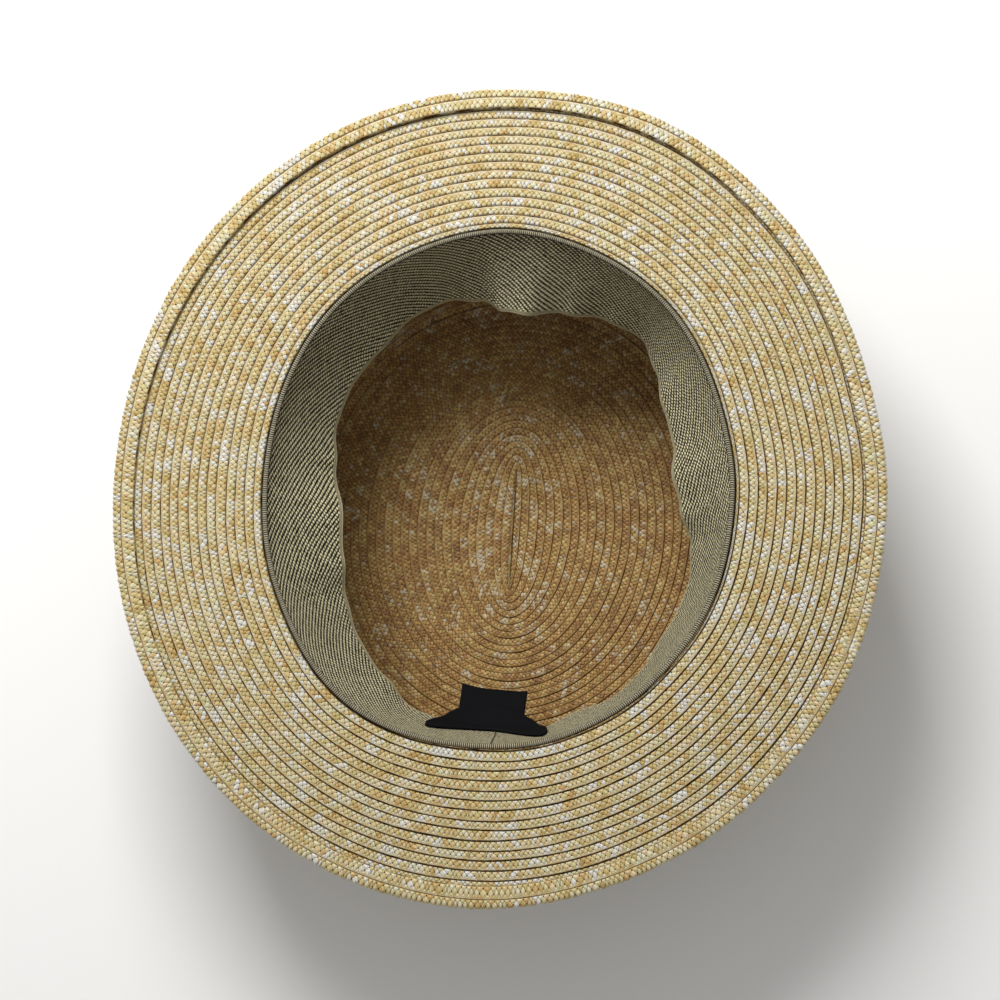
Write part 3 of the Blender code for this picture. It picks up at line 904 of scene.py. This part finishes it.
def makeTwill():
    material, add, shader = newMaterial("olive cotton twill tape, woven", 0.82, 0.2)
    u, v = surfacePlace(add)
    furrow, light = fromHex(twillLook["tones"][0][1]), fromHex(twillLook["tones"][-1][1])
    turn = math.radians(twillLook["ribTurn"])
    sine, cosine = math.sin(turn), math.cos(turn)
    off = add("Math ADD", add("Math MULTIPLY", u, sine), add("Math MULTIPLY", v, cosine))
    down = add("Math SUBTRACT", add("Math MULTIPLY", v, sine), add("Math MULTIPLY", u, cosine))
    wander = add("TexNoise", named={"Scale": 160.0, "Detail": 1.0})
    ribs = add("Math DIVIDE", off, twillLook["ribSpacing"])
    ribs = add("Math ADD", ribs, add("Math MULTIPLY", wander, twillLook["ribWander"]))
    ribHeight = add(smooth, add("Math PINGPONG", ribs, 0.5), 0.07, 0.36)
    # each rib's threads slant and are offset from the next rib's
    offset = add("TexWhiteNoise 1D", named={"W": add("Math FLOOR", ribs)})
    threads = add("Math DIVIDE", down, twillLook["threadSpacing"])
    threads = add("Math ADD", threads, add("Math MULTIPLY_ADD", ribs, twillLook["threadSlant"], offset))
    threadHeight = add(smooth, add("Math PINGPONG", threads, 0.5), 0.04, 0.30)
    weave = add("Math MULTIPLY", ribHeight, add("Math MULTIPLY_ADD", threadHeight, 0.92, 0.08))
    # the selvedge is a flat fine strip along the free edge, with a pale thread at its very end
    fromEdge = add("Math ABSOLUTE", add("Math SUBTRACT", v, 1000 * sweatband["width"]))
    selvedge = add(smooth, fromEdge, twillLook["selvedge"], twillLook["selvedge"] * 0.7)
    fine = add("TexNoise", named={"Scale": 1600.0, "Detail": 1.0})
    weave = add("Math ADD", add("Math MULTIPLY", weave, add("Math SUBTRACT", 1.0, selvedge)),
                add("Math MULTIPLY", selvedge, fine))
    # the weave's height is painted as shade: dark in the furrows and between threads
    colour = add("ValToRGB", weave, stops=twillLook["tones"])
    shift = add("ValToRGB", fine, stops=((0.3, 0.62), (0.65, 1.0)))
    colour = add("Mix MULTIPLY", 0.8, colour, shift, **colours)
    # the tape's ends meet in a dark line
    joinPlace = 1000 * bandLength * twillLook["joinDegrees"] / 360
    fromJoin = add("Math ABSOLUTE", add("Math SUBTRACT", u, joinPlace))
    join = add(smooth, fromJoin, 1.2 * twillLook["joinWidth"], 0.4 * twillLook["joinWidth"])
    join = add("Math MULTIPLY", join, 0.85)
    colour = add("Mix", join, colour, furrow, **colours)
    lastThread = add("Math MULTIPLY", add(smooth, fromEdge, 0.55, 0.30), 0.6)
    linkShader(shader, "Base Color", add("Mix", lastThread, colour, light, **colours))
    height = add("Math MULTIPLY", weave, twillLook["relief"])
    linkShader(shader, "Normal", add("Bump", named={"Height": height, "Distance": 1.0, "Strength": 1.0}))
    return material


# Spun polyester overlock thread: greyish bars with dark gaps of painted shade, and painted shadow along both
# sides
def makeThread():
    material, add, shader = newMaterial("tan spun overlock thread", 0.75, 0.25)
    u, v = surfacePlace(add)
    bead = add(smooth, add("Math PINGPONG", u, 0.5), 0.08, 0.38)
    # painted shadow along both flanks of the cord
    flank = add("Math PINGPONG", add("Math ADD", v, 0.25), 0.5)
    bead = add("Math MULTIPLY", bead, add(smooth, flank, 0.27, 0.38))
    tone = add("TexWhiteNoise 1D", named={"W": add("Math FLOOR", u)})
    colour = add("ValToRGB", bead, stops=overlock["tones"])
    shift = add("ValToRGB", tone, stops=((0.0, 0.72), (1.0, 1.0)))
    linkShader(shader, "Base Color", add("Mix MULTIPLY", 0.9, colour, shift, **colours))
    height = add("Math MULTIPLY", bead, overlock["threadDepth"])
    linkShader(shader, "Normal", add("Bump", named={"Height": height, "Distance": 1.0}))
    return material


# Damask-woven polyester: black, almost without gloss, with fine weft lines
def makeBlackWeave(name, pitch, depth, base, bright):
    material, add, shader = newMaterial(name, 0.8, 0.06)
    u, v = surfacePlace(add)
    weft = add(smooth, add("Math PINGPONG", add("Math DIVIDE", v, pitch), 0.5), 0.05, 0.4)
    warp = add(smooth, add("Math PINGPONG", add("Math DIVIDE", u, pitch), 0.5), 0.05, 0.4)
    weave = add("Math MULTIPLY_ADD", warp, 0.35, add("Math MULTIPLY", weft, 0.65))
    fine = add("TexNoise", named={"Scale": 900.0, "Detail": 2.0})
    share = add("Math MULTIPLY", weave, fine)
    linkShader(shader, "Base Color", add("Mix", share, fromHex(base), fromHex(bright), **colours))
    height = add("Math MULTIPLY", weave, depth)
    linkShader(shader, "Normal", add("Bump", named={"Height": height, "Distance": 1.0}))
    return material


def makeLining():
    makeSweatband(makeTwill())
    makeOverlock(makeThread())
    cloth = makeBlackWeave("black polyester damask label", 0.35, 0.00006, "#040405", "#202124")
    width, height = label["width"], label["height"]
    makerLabel = makeLabel("plain_label", label, labelPlace, (width, height), cloth, "maker_label")
    tabSize = (sizeTab["width"], sizeTab["length"])
    tab = makeLabel("plain_tab", sizeTab, tabPlace, tabSize, cloth, "size_tab")


makeLining()
makeRibbon(makeBlackWeave("black rayon grosgrain ribbon", 0.5, 0.00005, "#09090B", "#232327"))

# Studio
studio = {
    "floor": "#F4F3F1",
    "floorHalfSize": 6.0,
    "floorDrop": 0.0002,        # the lowest straw rests on it
    "keyTurn": 111,             # degrees round from the wearer's left, and up from the floor
    "keyClimb": 47,
    "keyDistance": 0.95,
    "keySize": 0.50,
    "keyPower": 10.6,
    "sky": 0.42,
}


def makeStudio():
    build = bmesh.new()
    bmesh.ops.create_grid(build, x_segments=1, y_segments=1, size=studio["floorHalfSize"])
    mesh = bpy.data.meshes.new("paleFloor")
    build.to_mesh(mesh)
    build.free()
    floor = bpy.data.objects.new("paleFloor", mesh)
    floor.location.z = -studio["floorDrop"]
    bpy.context.scene.collection.objects.link(floor)
    material, _, shader = newMaterial("matte paper sweep", 0.9)
    shader.inputs["Base Color"].default_value = fromHex(studio["floor"])
    mesh.materials.append(material)
    light = bpy.data.lights.new("keyLight", "AREA")
    light.size = studio["keySize"]
    light.energy = studio["keyPower"]
    key = bpy.data.objects.new("keyLight", light)
    turn, climb = math.radians(studio["keyTurn"]), math.radians(studio["keyClimb"])
    towards = Vector((math.cos(turn) * math.cos(climb), math.sin(turn) * math.cos(climb), math.sin(climb)))
    key.location = Vector((0, 0, brimTop)) + towards * studio["keyDistance"]
    key.rotation_euler = (-towards).to_track_quat("-Z", "Y").to_euler()
    bpy.context.scene.collection.objects.link(key)
    world = bpy.data.worlds.new("studioSky")
    world.use_nodes = True
    background = world.node_tree.nodes["Background"]
    background.inputs["Color"].default_value = (1, 1, 1, 1)
    background.inputs["Strength"].default_value = studio["sky"]
    bpy.context.scene.world = world
    bpy.context.scene.view_settings.view_transform = "Standard"


makeStudio()
print("stage: studio made")
